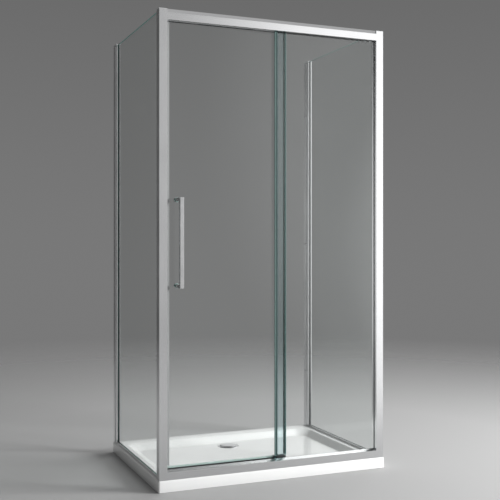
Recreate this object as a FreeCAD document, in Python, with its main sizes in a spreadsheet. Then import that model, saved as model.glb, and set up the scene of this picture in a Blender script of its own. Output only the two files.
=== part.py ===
"""Three-sided shower enclosure with a sliding door, standing on its low shower tray.

Millimetres. +X runs left to right, +Y towards the wall, +Z up.
The origin is the middle of the tray's underside.
"""
import FreeCAD, Part

import math
import os
import re

import Sketcher

Vector = FreeCAD.Vector
doc = FreeCAD.newDocument("shower_enclosure")

# ---------------------------------------------------------------- driving sizes
SIZES = [
    # tray
    ("tray_long", 1100, "tray, left to right"),
    ("tray_deep", 800, "tray, front to wall"),
    ("tray_high", 50, "tray, underside to rim"),
    ("tray_round", 4, "rounding of the tray's outer top edge"),
    ("rim_side", 50, "flat rim at the left and right"),
    ("rim_back", 70, "flat rim at the wall"),
    ("rim_front", 60, "flat rim under the front"),
    ("slope_side", 45, "run of the basin's side walls"),
    ("slope_end", 60, "run of the basin's front and back walls"),
    ("basin_round", 70, "corner radius at the top of the basin"),
    ("floor_round", 45, "corner radius at the foot of the basin"),
    ("floor_high", 24, "basin floor above the underside"),
    ("dish_wide", 300, "diameter of the dished floor round the waste"),
    ("dish_fall", 2, "fall of the dished floor"),
    # waste
    ("waste_from_wall", 192, "centre of the waste to the wall"),
    ("flange_wide", 104, "diameter of the waste flange"),
    ("flange_thick", 2.5, "thickness of the waste flange"),
    ("seal_thick", 1.5, "thickness of the two waste seals"),
    ("seat_gap", 1.5, "gap round the flange in its seat"),
    ("web_thick", 8, "tray left between the two seals"),
    ("tail_wide", 48, "outer diameter of the threaded tail"),
    ("tail_bore", 37, "bore of the tail below the strainer"),
    ("throat_wide", 40, "bore of the tail that holds the strainer"),
    ("tail_low", 1, "end of the tail above the underside"),
    ("pocket_wide", 96, "pocket under the tray for the nut"),
    ("nut_wide", 70, "diameter of the back nut"),
    ("nut_thick", 6, "thickness of the back nut"),
    ("strainer_thick", 3, "thickness of the strainer"),
    ("hub_wide", 11, "diameter of the strainer's hub"),
    ("pin_wide", 5, "pin of the cover in the hub"),
    ("cover_wide", 86, "diameter of the waste cover"),
    ("cover_gap", 3, "water gap under the cover"),
    ("cover_edge", 1.6, "thickness of the cover's edge"),
    ("cover_crown", 3.4, "rise of the cover's dome"),
    # frame
    ("side_margin", 4, "tray edge to the frame, left and right"),
    ("front_margin", 4, "tray edge to the frame, front"),
    ("frame_high", 2000, "frame above the tray"),
    ("glass_thick", 6, "thickness of every pane"),
    ("gasket_thick", 2, "glazing strip between pane and slot"),
    ("slot_deep", 13, "depth of the glazing slots"),
    ("slot_bite", 11.5, "how far a pane reaches into its slot"),
    ("side_inset", 9, "outer face of the frame to the side pane"),
    ("post_wide", 36, "corner post, left to right"),
    ("post_deep", 40, "corner post, front to back"),
    ("post_wall", 2, "wall of the corner post"),
    ("cap_thick", 2, "plate of the plastic caps"),
    ("peg_side", 6, "pegs of the plastic caps"),
    ("peg_deep", 8, "reach of the pegs"),
    # wall profiles
    ("profile_wide", 22, "wall profile, left to right"),
    ("profile_deep", 54, "wall profile, wall to front"),
    ("channel_deep", 30, "depth of the wall channel"),
    ("channel_wall", 1.8, "wall of the wall channel"),
    ("jamb_wall", 2, "wall of the jamb"),
    ("jamb_back", 12, "wall to the back of the jamb"),
    ("slide_gap", 0.2, "gap between the jamb and its channel"),
    ("wall_hole", 5.2, "diameter of the wall screw holes"),
    ("wall_hole_low", 130, "lowest wall screw above the tray"),
    ("wall_hole_top", 130, "highest wall screw below the top of the frame"),
    ("adjust_low", 300, "lowest adjusting screw above the tray"),
    ("adjust_pitch", 700, "spacing of the adjusting screws"),
    ("adjust_back", 20, "wall to the adjusting screws"),
    ("adjust_wide", 3.8, "shank of the adjusting screws"),
    ("adjust_reach", 10, "length of the adjusting screws"),
    ("adjust_head", 8, "head of the adjusting screws"),
    ("adjust_head_high", 2.2, "height of those heads"),
    ("adjust_cap", 12, "diameter of the screw caps"),
    ("adjust_cap_high", 4.5, "height of the screw caps"),
    ("screw_gap", 0.1, "gap round a screw in its hole"),
    # side sill
    ("sill_high", 10, "height of the side sill"),
    ("sill_wall", 1.5, "wall of the side sill"),
    ("sill_pad", 0.5, "sealant between sill and pane"),
    ("side_glass_low", 2, "side pane above the tray"),
    # header
    ("header_high", 46, "height of the header"),
    ("header_deep", 56, "depth of the header"),
    ("header_wall", 2, "wall of the header"),
    ("header_face", 31, "height of the header's lower face"),
    ("header_step", 1.2, "shadow step above that face"),
    ("header_lean", 5, "lean of the header's upper face"),
    ("header_lip", 3, "underside of the header to its back wall"),
    ("shelf_high", 9, "underside of the header to the track shelf"),
    ("track_high", 15, "underside of the header to the track's top"),
    ("track_inset", 47.5, "front of the header to the track"),
    ("track_wide", 3, "width of the track"),
    ("header_slot", 14, "depth of the pane's slot in the header"),
    ("header_bite", 12.5, "how far the fixed pane reaches into it"),
    # bottom rail
    ("rail_face", 34, "height of the bottom rail's front"),
    ("rail_high", 42, "height at the back of its sloped top"),
    ("rail_wall", 2, "wall of the bottom rail"),
    ("rail_lip", 36, "height of its back wall"),
    ("rail_seat", 18, "bottom of its glazing slot"),
    ("block_high", 2, "setting blocks under the fixed pane"),
    ("block_long", 60, "length of the setting blocks"),
    ("block_inset", 70, "pane's edge to the setting blocks"),
    ("infill_wall", 1.5, "wall of the infill strips"),
    ("infill_high", 10, "height of the infill strips"),
    ("infill_gap", 0.1, "gap beside the infill strips"),
    # corner joints
    ("joint_long", 30, "length of the corner blocks"),
    ("joint_wide", 7, "thickness of the corner blocks"),
    ("joint_line", 9.5, "front of the frame to the joint screws"),
    ("joint_low", 9, "lower joint screw above the profile's base"),
    ("joint_pitch", 14, "spacing of the joint screws"),
    ("joint_shank", 3.8, "shank of the joint screws"),
    ("joint_head", 7, "head of the joint screws"),
    ("joint_head_high", 2.5, "height of those heads"),
    ("joint_reach", 22, "length of the joint screws"),
    # fixed pane and door pane
    ("fixed_inset", 17.5, "front of the frame to the fixed pane"),
    ("fixed_show", 511, "visible width of the fixed pane"),
    ("door_inset", 33, "front of the frame to the door pane"),
    ("pane_overlap", 59, "overlap of the two front panes"),
    ("door_gap", 8, "left post to the door pane"),
    ("door_low", 44, "door pane above the tray"),
    ("door_top", 24, "door pane above the header's underside"),
    ("slide_travel", 430, "travel of the door"),
    # seals
    ("clip_wall", 1.2, "wall of the clip-on seals"),
    ("clip_grip", 10, "how far a clip-on seal covers the pane"),
    ("clip_nose", 1.5, "seal in front of the pane's edge"),
    ("seal_gap", 0.3, "running gap of the seals' fins"),
    ("seal_start", 54, "upright seals above the tray"),
    ("bottom_seal_top", 51, "top of the door's bottom seal"),
    ("bottom_seal_low", 41, "underside of its clip"),
    ("blade_low", 33.5, "tip of its drip blade"),
    ("strike_thick", 5, "thickness of the magnetic strike"),
    ("strike_wide", 8, "width of the magnetic strike"),
    ("strike_gap", 0.5, "gap between magnet strip and strike"),
    # guide at the foot of the overlap
    ("guide_long", 55, "length of the guide"),
    ("guide_lead", 4, "guide in front of the fixed pane's edge"),
    ("guide_foot", 5, "foot of the guide above the tray"),
    ("guide_base", 24, "underside of the guide's base"),
    ("guide_floor", 30, "top of the guide's base"),
    ("guide_top", 51, "top of the guide's legs"),
    ("guide_leg", 3.6, "thickness of the guide's legs"),
    ("guide_gap", 0.4, "gap between the guide and the door"),
    ("guide_screw_high", 10, "guide screws above the tray"),
    ("guide_screw_pitch", 30, "spacing of the guide screws"),
    # rollers
    ("bracket_wide", 76, "width of a roller bracket"),
    ("bracket_inset", 70, "door pane's edge to a bracket"),
    ("bracket_thick", 2.5, "thickness of a bracket"),
    ("bracket_low", 2, "underside of the header to a bracket's foot"),
    ("bracket_top", 40, "underside of the header to a bracket's head"),
    ("bracket_cut", 8, "cut corners of a bracket"),
    ("roller_pitch", 44, "spacing of the two rollers on a bracket"),
    ("roller_wide", 24, "diameter of a roller's flanges"),
    ("groove_wide", 20, "diameter of a roller's groove"),
    ("roller_thick", 7, "thickness of a roller"),
    ("groove_gap", 0.3, "gap beside the track in the groove"),
    ("track_gap", 0.2, "gap above the track in the groove"),
    ("axle_wide", 6, "diameter of an axle"),
    ("axle_gap", 0.05, "running clearance on an axle"),
    ("axle_head", 10, "diameter of an axle's head and shoulder"),
    ("axle_head_thick", 1.7, "thickness of an axle's head"),
    ("roller_play", 0.3, "play beside a roller"),
    ("bolt_pitch", 60, "spacing of the two bolts in a bracket"),
    ("bolt_high", 10, "underside of the header to those bolts"),
    ("bolt_wide", 5, "shank of those bolts"),
    ("bolt_head", 12, "head of those bolts"),
    ("bolt_head_high", 1.6, "height of their heads"),
    ("bolt_nut", 9, "nut of those bolts"),
    ("bolt_nut_high", 2.2, "height of their nuts"),
    ("bolt_pad", 18, "pads between bolt and pane"),
    ("bolt_pad_thick", 1.5, "thickness of those pads"),
    ("pane_hole", 8, "holes in the door pane for the bolts"),
    ("clip_wide", 16, "width of an anti-lift clip"),
    ("clip_deep", 5, "depth of an anti-lift clip"),
    ("clip_low", 38, "underside of the header to that clip"),
    ("clip_top", 43, "underside of the header to its head"),
    ("stop_long", 20, "length of a track stop"),
    ("stop_low", 27, "underside of the header to a stop"),
    ("stop_high", 13, "height of a stop"),
    ("stop_front", 38, "front of the header to a stop"),
    # handle
    ("handle_inset", 36.5, "door pane's edge to the handle"),
    ("handle_side", 17, "side of the handle's square bar"),
    ("handle_long", 386, "length of the bar"),
    ("handle_low", 814, "foot of the bar above the tray"),
    ("handle_reach", 54, "bar to the door pane"),
    ("handle_round", 1, "rounding of the bar's edges"),
    ("leg_side", 15, "side of the handle's legs"),
    ("leg_inset", 1, "bar's end to a leg"),
    ("washer_wide", 20, "diameter of the handle's washers"),
    ("washer_thick", 1.5, "thickness of those washers"),
    ("knob_wide", 20, "diameter of the inner knobs"),
    ("knob_thick", 10, "thickness of the inner knobs"),
    ("handle_screw", 6, "screws through the door pane"),
    ("handle_screw_deep", 21, "screw in a leg"),
    ("handle_screw_knob", 8, "screw in a knob"),
    ("handle_hole", 12, "holes in the door pane for the handle"),
]
ALIASES = {alias for alias, value, note in SIZES}
WORD = re.compile(r"[a-z]+(?:_[a-z]+)*")

sheet = doc.addObject("Spreadsheet::Sheet", "Sizes")
for row, (alias, value, note) in enumerate(SIZES, start=1):
    sheet.set(f"A{row}", note)
    sheet.set(f"B{row}", str(value))
    sheet.setAlias(f"B{row}", alias)
doc.recompute()

# ---------------------------------------------------------------- named places
LEFT = "(side_margin - tray_long / 2)"
RIGHT = "(tray_long / 2 - side_margin)"
FRONT = "(front_margin - tray_deep / 2)"
WALL = "(tray_deep / 2)"
BASE = "tray_high"
TOP = "(tray_high + frame_high)"
UNDER = f"({TOP} - header_high)"
INNER_LEFT = f"({LEFT} + post_wide)"
INNER_RIGHT = f"({RIGHT} - post_wide)"
POST_BACK = f"({FRONT} + post_deep)"
JAMB_FRONT = f"({WALL} - profile_deep)"
FIXED_LEFT = f"({INNER_RIGHT} - fixed_show)"
DOOR_LEFT = f"({INNER_LEFT} + door_gap)"
DOOR_RIGHT = f"({FIXED_LEFT} + pane_overlap)"
DOOR_FRONT = f"({FRONT} + door_inset)"
DOOR_BACK = f"({DOOR_FRONT} + glass_thick)"
SEAL_TOP = f"({UNDER} - 1)"

# slots that hold the panes, measured from the outer face or the front
SIDE_SLOT = ("(side_inset - gasket_thick)", "(side_inset + glass_thick + gasket_thick)")
FIXED_SLOT = ("(fixed_inset - gasket_thick)", "(fixed_inset + glass_thick + gasket_thick)")


# ---------------------------------------------------------------- making things
def bind(thing, prop, text):
    """Bind a property to a formula of the sheet's sizes."""
    def with_sheet(found):
        word = found.group()
        return "Sizes." + word if word in ALIASES else word
    thing.setExpression(prop, WORD.sub(with_sheet, str(text)))


def place(thing, corner):
    for axis, text in zip("xyz", corner):
        bind(thing, "Placement.Base." + axis, text)


def box(low, high, name="box"):
    """A block from its lowest corner to its highest."""
    item = doc.addObject("Part::Box", name)
    for prop, start, end in zip(("Length", "Width", "Height"), low, high):
        bind(item, prop, f"({end}) - ({start})")
    place(item, low)
    return item


TURNS = {
    "+X": FreeCAD.Rotation(Vector(0, 1, 0), 90),
    "+Y": FreeCAD.Rotation(Vector(1, 0, 0), -90),
    "+Z": FreeCAD.Rotation(),
}


def rod(wide, long, start, axis="+Z", name="rod"):
    """A cylinder of a diameter and length, from its start along an axis."""
    item = doc.addObject("Part::Cylinder", name)
    bind(item, "Radius", f"({wide}) / 2")
    bind(item, "Height", long)
    item.Placement.Rotation = TURNS[axis]
    place(item, start)
    return item


def fuse(*items):
    item = doc.addObject("Part::MultiFuse", "joined")
    item.Shapes = list(items)
    return item


def cut(base, *tools):
    item = doc.addObject("Part::Cut", "cut")
    item.Base = base
    item.Tool = tools[0] if len(tools) == 1 else fuse(*tools)
    return item


def group(*items):
    """Several separate solids that share one node."""
    item = doc.addObject("Part::Compound", "group")
    item.Links = list(items)
    return item


def sketch_in(body, role, loops):
    """A sketch of closed outlines whose corners are bound to the sheet."""
    plane = [item for item in body.Origin.OriginFeatures if item.Role == role][0]
    sketch = body.newObject("Sketcher::SketchObject", "outline")
    sketch.AttachmentSupport = [(plane, "")]
    sketch.MapMode = "FlatFace"
    for loop in loops:
        first = sketch.GeometryCount
        count = len(loop)
        start = [Vector(first + k + 1, (first + k) ** 2 + 1, 0) for k in range(count)]
        sketch.addGeometry([Part.LineSegment(start[k], start[(k + 1) % count]) for k in range(count)])
        for k, corner in enumerate(loop):
            sketch.addConstraint(
                Sketcher.Constraint("Coincident", first + k, 2, first + (k + 1) % count, 1))
            for kind, text in zip(("DistanceX", "DistanceY"), corner):
                made = sketch.addConstraint(Sketcher.Constraint(kind, -1, 1, first + k, 1, 1.0))
                bind(sketch, f"Constraints[{made}]", text)
    return sketch


def extrusion(role, loops, long, corner):
    """A profile drawn on one of the body's planes and pushed along its normal."""
    body = doc.addObject("PartDesign::Body", "profile")
    pad = body.newObject("PartDesign::Pad", "length")
    pad.Profile = sketch_in(body, role, loops)
    body.Tip = pad
    bind(pad, "Length", long)
    place(body, corner)
    return body


def turned(role, loop, corner):
    """A half section turned round the upright axis of its sketch."""
    body = doc.addObject("PartDesign::Body", "turning")
    sketch = sketch_in(body, role, [loop])
    turn = body.newObject("PartDesign::Revolution", "turn")
    turn.Profile = sketch
    turn.ReferenceAxis = (sketch, ["V_Axis"])
    turn.Angle = 360
    body.Tip = turn
    place(body, corner)
    return body


def mirrored(loops):
    return [[(f"-({x})", y) for x, y in loop] for loop in loops]


nodes = []


def node(name, item):
    """Give a finished sub-part its name."""
    item.Label = name
    nodes.append(item)
    return item


# ---------------------------------------------------------------- tray
def rounded_outline(body, high, left, right, front, back, radius):
    """A flat rounded rectangle at a height, as four lines and four tangent arcs."""
    plane = [item for item in body.Origin.OriginFeatures if item.Role == "XY_Plane"][0]
    sketch = body.newObject("Sketcher::SketchObject", "outline")
    sketch.AttachmentSupport = [(plane, "")]
    sketch.MapMode = "FlatFace"
    bind(sketch, "AttachmentOffset.Base.z", high)
    wide, long, turn = 400, 250, 50
    ends = [(Vector(turn - wide, -long), Vector(wide - turn, -long)),
            (Vector(wide, turn - long), Vector(wide, long - turn)),
            (Vector(wide - turn, long), Vector(turn - wide, long)),
            (Vector(-wide, long - turn), Vector(-wide, turn - long))]
    sketch.addGeometry([Part.LineSegment(start, end) for start, end in ends])
    for k in range(4):
        middle = Vector(ends[k][1].x, ends[(k + 1) % 4][0].y) if k % 2 == 0 else Vector(
            ends[(k + 1) % 4][0].x, ends[k][1].y)
        circle = Part.Circle(middle, Vector(0, 0, 1), turn)
        sketch.addGeometry(Part.ArcOfCircle(circle, math.radians(90 * k - 90), math.radians(90 * k)))
        sketch.addConstraint(Sketcher.Constraint("Tangent", k, 2, 4 + k, 1))
    for k in range(4):
        sketch.addConstraint(Sketcher.Constraint("Tangent", 4 + k, 2, (k + 1) % 4, 1))
    for k, kind in enumerate(("Horizontal", "Vertical", "Horizontal", "Vertical")):
        sketch.addConstraint(Sketcher.Constraint(kind, k))
    for k, (kind, start, text) in enumerate((
            ("DistanceY", -long, front), ("DistanceX", wide, right),
            ("DistanceY", long, back), ("DistanceX", -wide, left))):
        made = sketch.addConstraint(Sketcher.Constraint(kind, -1, 1, k, 1, start))
        bind(sketch, f"Constraints[{made}]", text)
    for arc in range(4, 8):
        made = sketch.addConstraint(Sketcher.Constraint("Radius", arc, turn))
        bind(sketch, f"Constraints[{made}]", radius)
    return sketch


def edges_where(feature, test):
    """Names of a feature's edges that pass a test."""
    return [f"Edge{number}" for number, edge in enumerate(feature.Shape.Edges, start=1) if test(edge)]


WASTE_Y = f"({WALL} - waste_from_wall)"
DISH_LOW = "(floor_high - dish_fall)"
SEAT = f"({DISH_LOW} - flange_thick - seal_thick)"
WEB_LOW = f"({SEAT} - web_thick)"

tray_body = doc.addObject("PartDesign::Body", "tray_body")
slab = tray_body.newObject("PartDesign::Pad", "slab")
slab.Profile = sketch_in(tray_body, "XY_Plane", [[
    ("-tray_long / 2", "-tray_deep / 2"), ("tray_long / 2", "-tray_deep / 2"),
    ("tray_long / 2", "tray_deep / 2"), ("-tray_long / 2", "tray_deep / 2")]])
bind(slab, "Length", "tray_high")
basin = tray_body.newObject("PartDesign::SubtractiveLoft", "basin")
basin.Profile = rounded_outline(
    tray_body, "tray_high", "rim_side - tray_long / 2", "tray_long / 2 - rim_side",
    "rim_front - tray_deep / 2", "tray_deep / 2 - rim_back", "basin_round")
basin.Sections = [rounded_outline(
    tray_body, "floor_high", "rim_side + slope_side - tray_long / 2",
    "tray_long / 2 - rim_side - slope_side", "rim_front + slope_end - tray_deep / 2",
    "tray_deep / 2 - rim_back - slope_end", "floor_round")]
basin.Ruled = True
tray_body.Tip = basin
doc.recompute()
high = float(sheet.get("tray_high"))
half = float(sheet.get("tray_long")) / 2
deep = float(sheet.get("tray_deep")) / 2
edging = tray_body.newObject("PartDesign::Fillet", "edging")
edging.Base = (basin, edges_where(
    basin, lambda edge: edge.BoundBox.ZMin > high - 0.01 and (
        edge.BoundBox.YMax < 0.01 - deep or abs(edge.BoundBox.XMin) > half - 0.01
        and abs(edge.BoundBox.XMax) > half - 0.01)))
bind(edging, "Radius", "tray_round")
softening = tray_body.newObject("PartDesign::Fillet", "softening")
doc.recompute()
softening.Base = (edging, edges_where(
    edging, lambda edge: edge.BoundBox.ZMin > high - 0.01 and edge.BoundBox.YMax < deep - 1
    and abs(edge.CenterOfMass.x) < half - 10 and edge.CenterOfMass.y > 10 - deep))
bind(softening, "Radius", "tray_round * 2")
tray_body.Tip = softening
doc.recompute()

dish = doc.addObject("Part::Cone", "dish")
bind(dish, "Radius1", "flange_wide / 2 + seat_gap")
bind(dish, "Radius2", "dish_wide / 2")
bind(dish, "Height", "dish_fall")
place(dish, ("0", WASTE_Y, DISH_LOW))
node("shower_tray", cut(
    tray_body, dish,
    rod("flange_wide + 2 * seat_gap", f"floor_high - {SEAT}", ("0", WASTE_Y, SEAT)),
    rod("tail_wide + 2 * seat_gap", "tray_high", ("0", WASTE_Y, "0")),
    rod("pocket_wide", WEB_LOW, ("0", WASTE_Y, "0"))))

# ---------------------------------------------------------------- waste
at_waste = ("0", WASTE_Y, "0")
LEDGE = f"({DISH_LOW} - flange_thick - strainer_thick - seal_thick)"
node("waste_flange", turned("XZ_Plane", [
    ("throat_wide / 2", LEDGE), ("throat_wide / 2", f"{DISH_LOW} - flange_thick"),
    ("throat_wide / 2 + 8", DISH_LOW), ("flange_wide / 2 - 1.5", DISH_LOW),
    ("flange_wide / 2", f"{DISH_LOW} - 1"), ("flange_wide / 2", f"{DISH_LOW} - flange_thick"),
    ("tail_wide / 2", f"{DISH_LOW} - flange_thick"), ("tail_wide / 2", "tail_low"),
    ("tail_bore / 2", "tail_low"), ("tail_bore / 2", LEDGE)], at_waste))
node("waste_seal_upper", turned("XZ_Plane", [
    ("tail_wide / 2 + screw_gap", SEAT), ("flange_wide / 2 - 2", SEAT),
    ("flange_wide / 2 - 2", f"{SEAT} + seal_thick"),
    ("tail_wide / 2 + screw_gap", f"{SEAT} + seal_thick")], at_waste))
node("waste_seal_lower", turned("XZ_Plane", [
    ("tail_wide / 2 + screw_gap", f"{WEB_LOW} - seal_thick"),
    ("nut_wide / 2", f"{WEB_LOW} - seal_thick"), ("nut_wide / 2", WEB_LOW),
    ("tail_wide / 2 + screw_gap", WEB_LOW)], at_waste))
NUT_TOP = f"({WEB_LOW} - seal_thick)"
NUT_LOW = f"({NUT_TOP} - nut_thick)"
nut_ring = turned("XZ_Plane", [
    ("tail_wide / 2 + axle_gap", NUT_LOW), ("nut_wide / 2 - 5", NUT_LOW),
    ("nut_wide / 2 - 5", f"{NUT_TOP} - 2"), ("nut_wide / 2", f"{NUT_TOP} - 2"),
    ("nut_wide / 2", NUT_TOP), ("tail_wide / 2 + axle_gap", NUT_TOP)], at_waste)
lugs = []
for turn in range(6):
    lug = box(("nut_wide / 2 - 6", "-3", NUT_LOW), ("nut_wide / 2", "3", NUT_TOP))
    spun = doc.addObject("Part::Compound", "spun")
    spun.Links = [lug]
    spun.Placement.Rotation = FreeCAD.Rotation(Vector(0, 0, 1), 60 * turn)
    bind(spun, "Placement.Base.y", WASTE_Y)
    lugs.append(spun)
node("waste_backnut", fuse(nut_ring, *lugs))

STRAINER_TOP = f"({LEDGE} + strainer_thick)"
strainer_rim = turned("XZ_Plane", [
    ("throat_wide / 2 - 2.4", LEDGE), ("throat_wide / 2 - 0.1", LEDGE),
    ("throat_wide / 2 - 0.1", STRAINER_TOP), ("throat_wide / 2 - 2.4", STRAINER_TOP)], at_waste)
strainer_hub = turned("XZ_Plane", [
    ("pin_wide / 2 + axle_gap", LEDGE), ("hub_wide / 2", LEDGE), ("hub_wide / 2", STRAINER_TOP),
    ("pin_wide / 2 + axle_gap", STRAINER_TOP)], at_waste)
spokes = []
for turn in range(8):
    spoke = box(("hub_wide / 2 - 0.5", "-0.9", f"{LEDGE} + 0.5"),
                ("throat_wide / 2 - 1", "0.9", f"{STRAINER_TOP} - 0.5"))
    spun = doc.addObject("Part::Compound", "spun")
    spun.Links = [spoke]
    spun.Placement.Rotation = FreeCAD.Rotation(Vector(0, 0, 1), 45 * turn)
    bind(spun, "Placement.Base.y", WASTE_Y)
    spokes.append(spun)
node("waste_strainer", fuse(strainer_rim, strainer_hub, *spokes))

COVER_LOW = f"({DISH_LOW} + cover_gap)"
node("waste_cover", turned("XZ_Plane", [
    ("0", f"{LEDGE} + 0.2"), ("pin_wide / 2", f"{LEDGE} + 0.2"),
    ("pin_wide / 2", f"{STRAINER_TOP} + 0.1"), ("hub_wide / 2", f"{STRAINER_TOP} + 0.1"),
    ("hub_wide / 2", f"{COVER_LOW} + 1"), ("cover_wide / 2 - 4", f"{COVER_LOW} + 1"),
    ("cover_wide / 2 - 4", COVER_LOW), ("cover_wide / 2", COVER_LOW),
    ("cover_wide / 2", f"{COVER_LOW} + cover_edge"),
    ("cover_wide * 0.38", f"{COVER_LOW} + cover_edge + cover_crown * 0.55"),
    ("cover_wide * 0.22", f"{COVER_LOW} + cover_edge + cover_crown * 0.88"),
    ("cover_wide * 0.1", f"{COVER_LOW} + cover_edge + cover_crown"),
    ("0", f"{COVER_LOW} + cover_edge + cover_crown")], at_waste))

# ---------------------------------------------------------------- corner posts
slot_out, slot_in = SIDE_SLOT
slot_end = "(post_deep - slot_deep)"
plain_post = [
    [("0", "0"), ("post_wide", "0"), ("post_wide", "post_deep"), (slot_in, "post_deep"),
     (slot_in, slot_end), (slot_out, slot_end), (slot_out, "post_deep"), ("0", "post_deep")],
    [("post_wall", "post_wall"), ("post_wide - post_wall", "post_wall"),
     ("post_wide - post_wall", "post_deep - post_wall"),
     (f"{slot_in} + post_wall", "post_deep - post_wall"),
     (f"{slot_in} + post_wall", f"{slot_end} - post_wall"),
     (f"{slot_out} - post_wall", f"{slot_end} - post_wall"),
     (f"{slot_out} - post_wall", "post_deep - post_wall"), ("post_wall", "post_deep - post_wall")],
]
fixed_out, fixed_in = FIXED_SLOT
fixed_end = "(post_wide - slot_deep)"
glazed_post = [
    [("0", "0"), ("post_wide", "0"), ("post_wide", fixed_out), (fixed_end, fixed_out),
     (fixed_end, fixed_in), ("post_wide", fixed_in), ("post_wide", "post_deep"),
     (slot_in, "post_deep"), (slot_in, slot_end), (slot_out, slot_end), (slot_out, "post_deep"),
     ("0", "post_deep")],
    [("post_wall", "post_wall"), ("post_wide - post_wall", "post_wall"),
     ("post_wide - post_wall", f"{fixed_out} - post_wall"),
     (f"{fixed_end} - post_wall", f"{fixed_out} - post_wall"),
     (f"{fixed_end} - post_wall", f"{slot_end} - post_wall"),
     (f"{slot_out} - post_wall", f"{slot_end} - post_wall"),
     (f"{slot_out} - post_wall", "post_deep - post_wall"), ("post_wall", "post_deep - post_wall")],
    [(f"{slot_in} + post_wall", f"{fixed_in} + post_wall"),
     ("post_wide - post_wall", f"{fixed_in} + post_wall"),
     ("post_wide - post_wall", "post_deep - post_wall"),
     (f"{slot_in} + post_wall", "post_deep - post_wall")],
]

# the header and the bottom rail are each held by two screws a side
joint_heights = [f"({base} + joint_low + {k} * joint_pitch)" for base in (BASE, UNDER) for k in (0, 1)]


def joint_holes(start, long, wide):
    return [rod(wide, long, (start, f"{FRONT} + joint_line", high), "+X") for high in joint_heights]


post_caps = []
for side, loops, outer, inner_wall in (
        ("left", plain_post, LEFT, f"{INNER_LEFT} - post_wall - 1"),
        ("right", mirrored(glazed_post), RIGHT, f"{INNER_RIGHT} - 1")):
    post = extrusion("XY_Plane", loops, "frame_high - cap_thick", (outer, FRONT, BASE))
    node(f"corner_post_{side}", cut(
        post, *joint_holes(inner_wall, "post_wall + 2", "joint_shank + 2 * screw_gap")))
    low_x = outer if side == "left" else INNER_RIGHT
    cap_low = f"({TOP} - cap_thick)"
    pegs = [box((f"{low_x} + {start}", f"{FRONT} + post_wall + 1", f"{cap_low} - peg_deep"),
                (f"{low_x} + {start} + peg_side", f"{FRONT} + post_wall + 1 + peg_side", cap_low))
            for start in ("post_wall + 1", "post_wide - post_wall - 1 - peg_side")]
    plate = box((low_x, FRONT, cap_low), (f"{low_x} + post_wide", POST_BACK, TOP))
    post_caps.append(fuse(plate, *pegs))
node("post_caps", group(*post_caps))

# ---------------------------------------------------------------- wall profiles and side panes
channel = [[
    ("0", "0"), ("profile_wide", "0"), ("profile_wide", "-channel_deep"),
    ("profile_wide - channel_wall", "-channel_deep"), ("profile_wide - channel_wall", "-channel_wall"),
    ("channel_wall", "-channel_wall"), ("channel_wall", "-channel_deep"), ("0", "-channel_deep")]]
jamb_out = "(channel_wall + slide_gap)"
jamb_in = "(profile_wide - channel_wall - slide_gap)"
jamb_end = "(profile_deep - slot_deep)"
jamb = [
    [(jamb_out, "-jamb_back"), (jamb_in, "-jamb_back"), (jamb_in, "-profile_deep"),
     (slot_in, "-profile_deep"), (slot_in, f"-{jamb_end}"), (slot_out, f"-{jamb_end}"),
     (slot_out, "-profile_deep"), (jamb_out, "-profile_deep")],
    [(f"{jamb_out} + jamb_wall", "-jamb_back - jamb_wall"),
     (f"{jamb_in} - jamb_wall", "-jamb_back - jamb_wall"),
     (f"{jamb_in} - jamb_wall", f"jamb_wall - {jamb_end}"),
     (f"{jamb_out} + jamb_wall", f"jamb_wall - {jamb_end}")],
]
wall_run = "(frame_high - wall_hole_low - wall_hole_top)"
wall_heights = [f"({BASE} + wall_hole_low + {k} * {wall_run} / 3)" for k in range(4)]
adjust_heights = [f"({BASE} + adjust_low + {k} * adjust_pitch)" for k in range(3)]
PROFILE_LONG = "frame_high - cap_thick"
adjusters, adjuster_caps, wall_caps = [], [], []

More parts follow.
